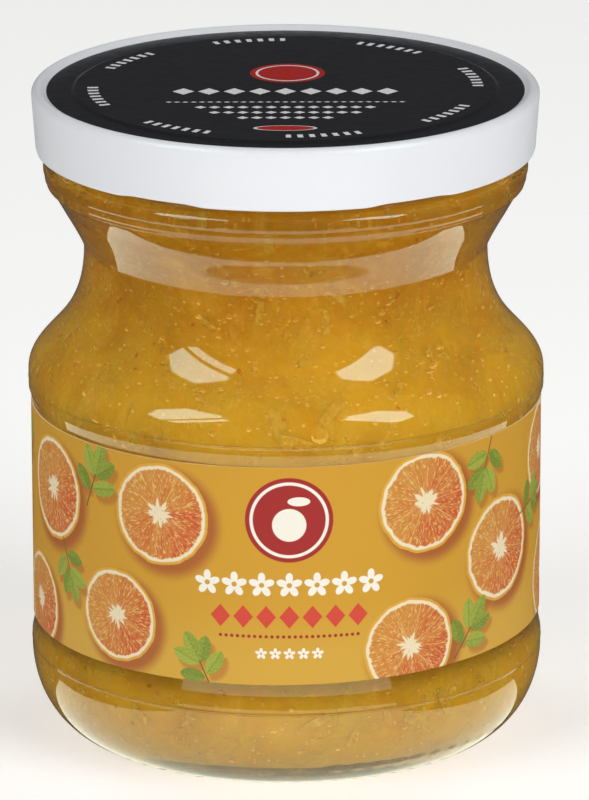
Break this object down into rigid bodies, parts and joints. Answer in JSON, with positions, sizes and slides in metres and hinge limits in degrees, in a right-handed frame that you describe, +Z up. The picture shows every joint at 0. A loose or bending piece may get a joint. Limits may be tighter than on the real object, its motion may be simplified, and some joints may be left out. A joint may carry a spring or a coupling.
{
  "type": "marmalade jar",
  "caption": "Shut jar of orange marmalade: waisted clear glass with a beaded neck, a low steel twist-off lid and a wrap-round paper label.",
  "frame": {"origin": "middle of the base, on the plane that the foot ring stands on", "axes": "+Z up along the jar's axis; the front of the label faces -Y, +X is to the right seen from the front"},
  "size_m": [0.082, 0.082, 0.1051],
  "materials": {
    "glass": "clear, smooth container glass with a faint green-grey tint",
    "marmalade": "amber translucent jelly with small bubbles, fine peel shreds and a few orange bits",
    "lid_enamel": "white enamelled tinplate, satin gloss, with a black printed top",
    "label_paper": "coated label paper, orange-yellow print with orange slices and leaves, soft sheen"
  },
  "bodies": {
    "root": {"glass_jar": "glass", "marmalade": "marmalade", "lid": "lid_enamel", "label": "label_paper"}
  },
  "joints": []
}
